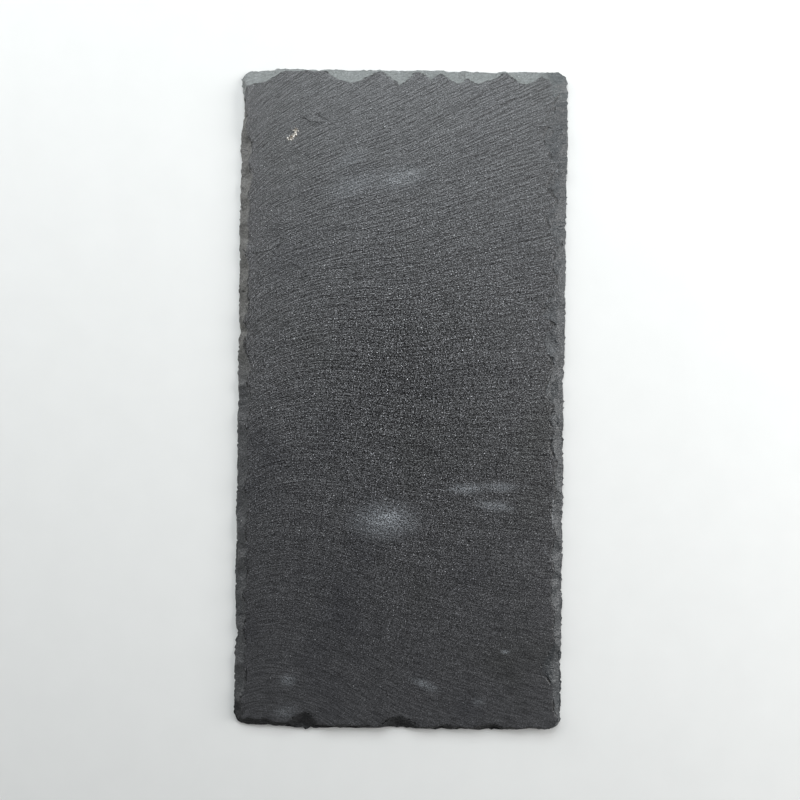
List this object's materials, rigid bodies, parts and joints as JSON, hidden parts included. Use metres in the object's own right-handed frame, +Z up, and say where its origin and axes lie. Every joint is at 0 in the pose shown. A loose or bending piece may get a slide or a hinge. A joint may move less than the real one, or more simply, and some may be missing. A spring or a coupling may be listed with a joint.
{
  "type": "slate slab",
  "caption": "Rectangular slab of riven slate with a rippled cleavage face, scalloped hand-dressed sides and a flat underside to rest on.",
  "frame": {"origin": "on the underside, at the middle of the slab's outline", "axes": "+X across the slab, +Y along it towards the end with the wide pale scallops and the crystal pocket, +Z up out of the riven face"},
  "size_m": [0.1496, 0.3014, 0.0053],
  "materials": {
    "slate": "riven, dry and unoiled, dull with a faint sheen"
  },
  "bodies": {
    "root": {"slate_slab": "slate"}
  },
  "joints": []
}
